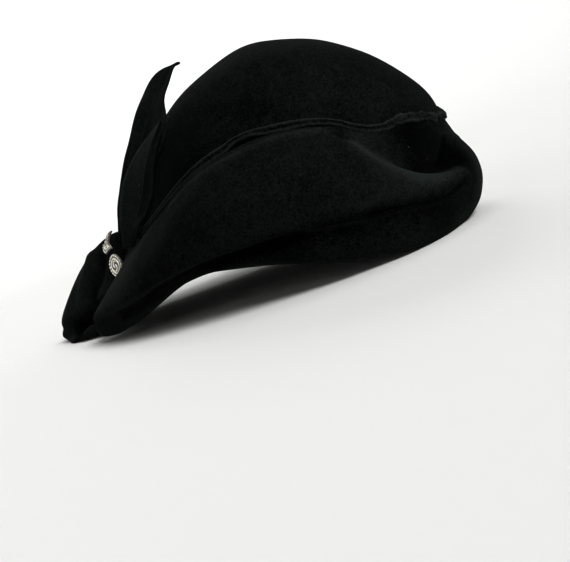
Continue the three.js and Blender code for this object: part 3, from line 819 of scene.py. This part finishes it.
def clip(name, node, sizes):
    """A clip's plate: rings on its front from the outline in to the middle, a side wall and a flat back.
    The outline is pointed at both ends, and the front's height is a sum of rolls."""
    at = dict(zip(CLIP_COLUMNS, sizes))
    turn, rise, lean = (np.radians(at[key]) for key in ("turn", "rise", "lean"))
    facing = polar(turn, np.cos(rise), np.sin(rise))
    side = np.cross([0, 0, 1], facing)
    side /= np.linalg.norm(side)
    upward = np.cross(facing, side)
    long_axis = upward * np.cos(lean) + side * np.sin(lean)
    wide_axis = np.cross(long_axis, facing)
    around = np.linspace(0, 2 * np.pi, CLIP_ROUND, endpoint=False)
    size = np.linspace(1, 0, CLIP_OUT + 1)[:-1]
    rim = np.exp(-(((size - RIM_PLACE) / 0.1) ** 2))
    line = np.exp(-(((size - LINE_PLACE) / 0.07) ** 2))
    dome_high = MIDDLE_HIGH * (1 - size**2)
    beads = 0.5 + 0.5 * np.cos(BEADS * around)[:, None]
    scroll_turn = around[:, None] / np.pi - size * SCROLL_WINDS
    scroll = (0.5 + 0.5 * np.cos(2 * np.pi * scroll_turn)) ** 2
    scroll *= np.clip((SCROLL_PLACE - size) / 0.1, 0, 1)
    high = PLATE_HIGH + dome_high + rim * (0.25 + 0.35 * beads) + line * 0.32 + scroll * 0.28
    high *= np.clip((1 - size) / 0.04, 0, 1) ** 0.5
    along = np.cos(around)[:, None] * size
    pointed = np.sin(around) * np.abs(np.sin(around)) ** 0.3
    narrowed = 1 - at["neck"] * (0.5 + 0.5 * np.tanh((along + 0.25) / 0.15))
    across = at["wide"] / 2 * pointed[:, None] * size * narrowed
    across += at["hook"] * size * np.exp(-(((along + 0.42) / 0.14) ** 2)) * np.maximum(pointed, 0)[:, None]
    across += at["bend"] * np.maximum(along, 0) ** 2
    middle = np.array(sizes[:3])
    back = middle + long_axis * (at["long"] / 2 * along)[..., None] + wide_axis * across[..., None]
    front = back + facing * (CLIP_THICK * (CLIP_LOWEST + CLIP_RELIEF * high))[..., None]
    top = middle + facing * CLIP_THICK * (CLIP_LOWEST + CLIP_RELIEF * (PLATE_HIGH + MIDDLE_HIGH))
    points = np.concatenate([front.reshape(-1, 3), back[:, 0], [top, middle]])
    number = numbered(CLIP_ROUND, CLIP_OUT)
    inner = number[:, -1]
    under = CLIP_ROUND * CLIP_OUT + np.append(np.arange(CLIP_ROUND), 0)
    last = np.full(CLIP_ROUND, len(points) - 2)
    faces = grid_faces(number).tolist()
    faces += quads(number[:, 0], under).tolist()
    faces += np.stack([inner[:-1], last, inner[1:]], -1).tolist()
    faces += np.stack([under[1:], last + 1, under[:-1]], -1).tolist()
    raised = rim * (0.4 + 0.6 * beads) + line + scroll
    hollow = np.zeros(len(points))
    hollow[: raised.size] = np.clip(1 - raised, 0, 1).ravel()
    piece(name, points, faces, pewter, node, "hollow", hollow)


for node, sizes in CLIPS.items():
    clip(node.replace("clip", "ornament"), node, sizes)


# Stage: a pale floor that rises all round like a wide dish, so that no horizon shows, soft light mainly
# from the front and above, and the camera at the photograph's angle to the hat.
FLOOR_FLAT = 0.9
FLOOR_SIZE = 4.0
FLOOR_RISE = 2.2
FLOOR_MIDDLE = 0.02
FLOOR_AROUND = 128
FLOOR_OUT = 80

floor_turn = np.linspace(0, 2 * np.pi, FLOOR_AROUND, endpoint=False)[:, None]
floor_out = np.linspace(FLOOR_MIDDLE, FLOOR_SIZE, FLOOR_OUT)
floor_up = FLOOR_RISE * np.clip((floor_out - FLOOR_FLAT) / (FLOOR_SIZE - FLOOR_FLAT), 0, 1) ** 2
floor_points = polar(floor_turn, -floor_out, floor_up).reshape(-1, 3)
floor_number = numbered(FLOOR_AROUND, FLOOR_OUT)
floor_faces = turned_over(grid_faces(floor_number)).tolist()
floor_faces.append(floor_number[-2::-1, 0].tolist())
paper = Finish("paper")
paper_shader = paper.node("BsdfPrincipled", {}, {
    "Base Color": (0.62, 0.62, 0.612, 1),
    "Roughness": 0.9,
    "Specular IOR Level": 0.1,
})
smooth_mesh("floor", floor_points, floor_faces, paper.surface(paper_shader))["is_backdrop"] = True

world = bpy.data.worlds.new("studio")
world.use_nodes = True
world.node_tree.nodes["Background"].inputs["Color"].default_value = (0.97, 0.985, 1, 1)
world.node_tree.nodes["Background"].inputs["Strength"].default_value = 0.05
bpy.context.scene.world = world


def soft_sun(name, direction, spread, strength):
    """Even light from a direction, softened over an angle of spread radians."""
    lamp = bpy.data.lights.new(name, "SUN")
    lamp.angle = spread
    lamp.energy = strength
    made = bpy.data.objects.new(name, lamp)
    toward = np.array(direction) / np.linalg.norm(direction)
    side = np.cross([0, 1, 0], toward)
    side /= np.linalg.norm(side)
    turned = np.eye(4)
    turned[:3, :3] = np.stack([side, np.cross(toward, side), toward], 1)
    made.matrix_world = Matrix(turned.tolist())
    bpy.context.scene.collection.objects.link(made)


soft_sun("front_light", (-0.5, -0.85, 0.8), 0.5, 4.6)
soft_sun("left_light", (-1, 0.4, 0.35), 0.6, 0.9)
soft_sun("top_light", (0, -0.2, 1), 0.9, 0.8)
soft_sun("back_light", (1, 0.7, 0.6), 0.6, 1.8)

# In the photograph the hat is worn tilted. Here it lies flat, so the camera is rolled instead.
PHOTO_WIDE = 570
PHOTO_FOCUS = 900
SENSOR = 36
CAMERA_PLACE = (-0.53766, -0.27808, 0.08592)
CAMERA_HEADING = 25.08
CAMERA_PITCH = -8.53
CAMERA_ROLL = -21.28
camera_data = bpy.data.cameras.new("camera")
camera_data.sensor_width = SENSOR
camera_data.lens = PHOTO_FOCUS * SENSOR / PHOTO_WIDE
camera_data.clip_start = 0.02
camera = bpy.data.objects.new("camera", camera_data)
camera.matrix_world = (
    Matrix.Translation(CAMERA_PLACE)
    @ Matrix.Rotation(np.radians(CAMERA_HEADING - 90), 4, "Z")
    @ Matrix.Rotation(np.radians(90 + CAMERA_PITCH), 4, "X")
    @ Matrix.Rotation(np.radians(CAMERA_ROLL), 4, "Z")
)
bpy.context.scene.collection.objects.link(camera)
bpy.context.scene.camera = camera
bpy.context.scene.view_settings.view_transform = "Standard"
bpy.context.scene.view_settings.gamma = 0.8

sizes = {
    "cad": [list(corner) for corner in cad_box],
    "visual": [list(corner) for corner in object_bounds()],
}
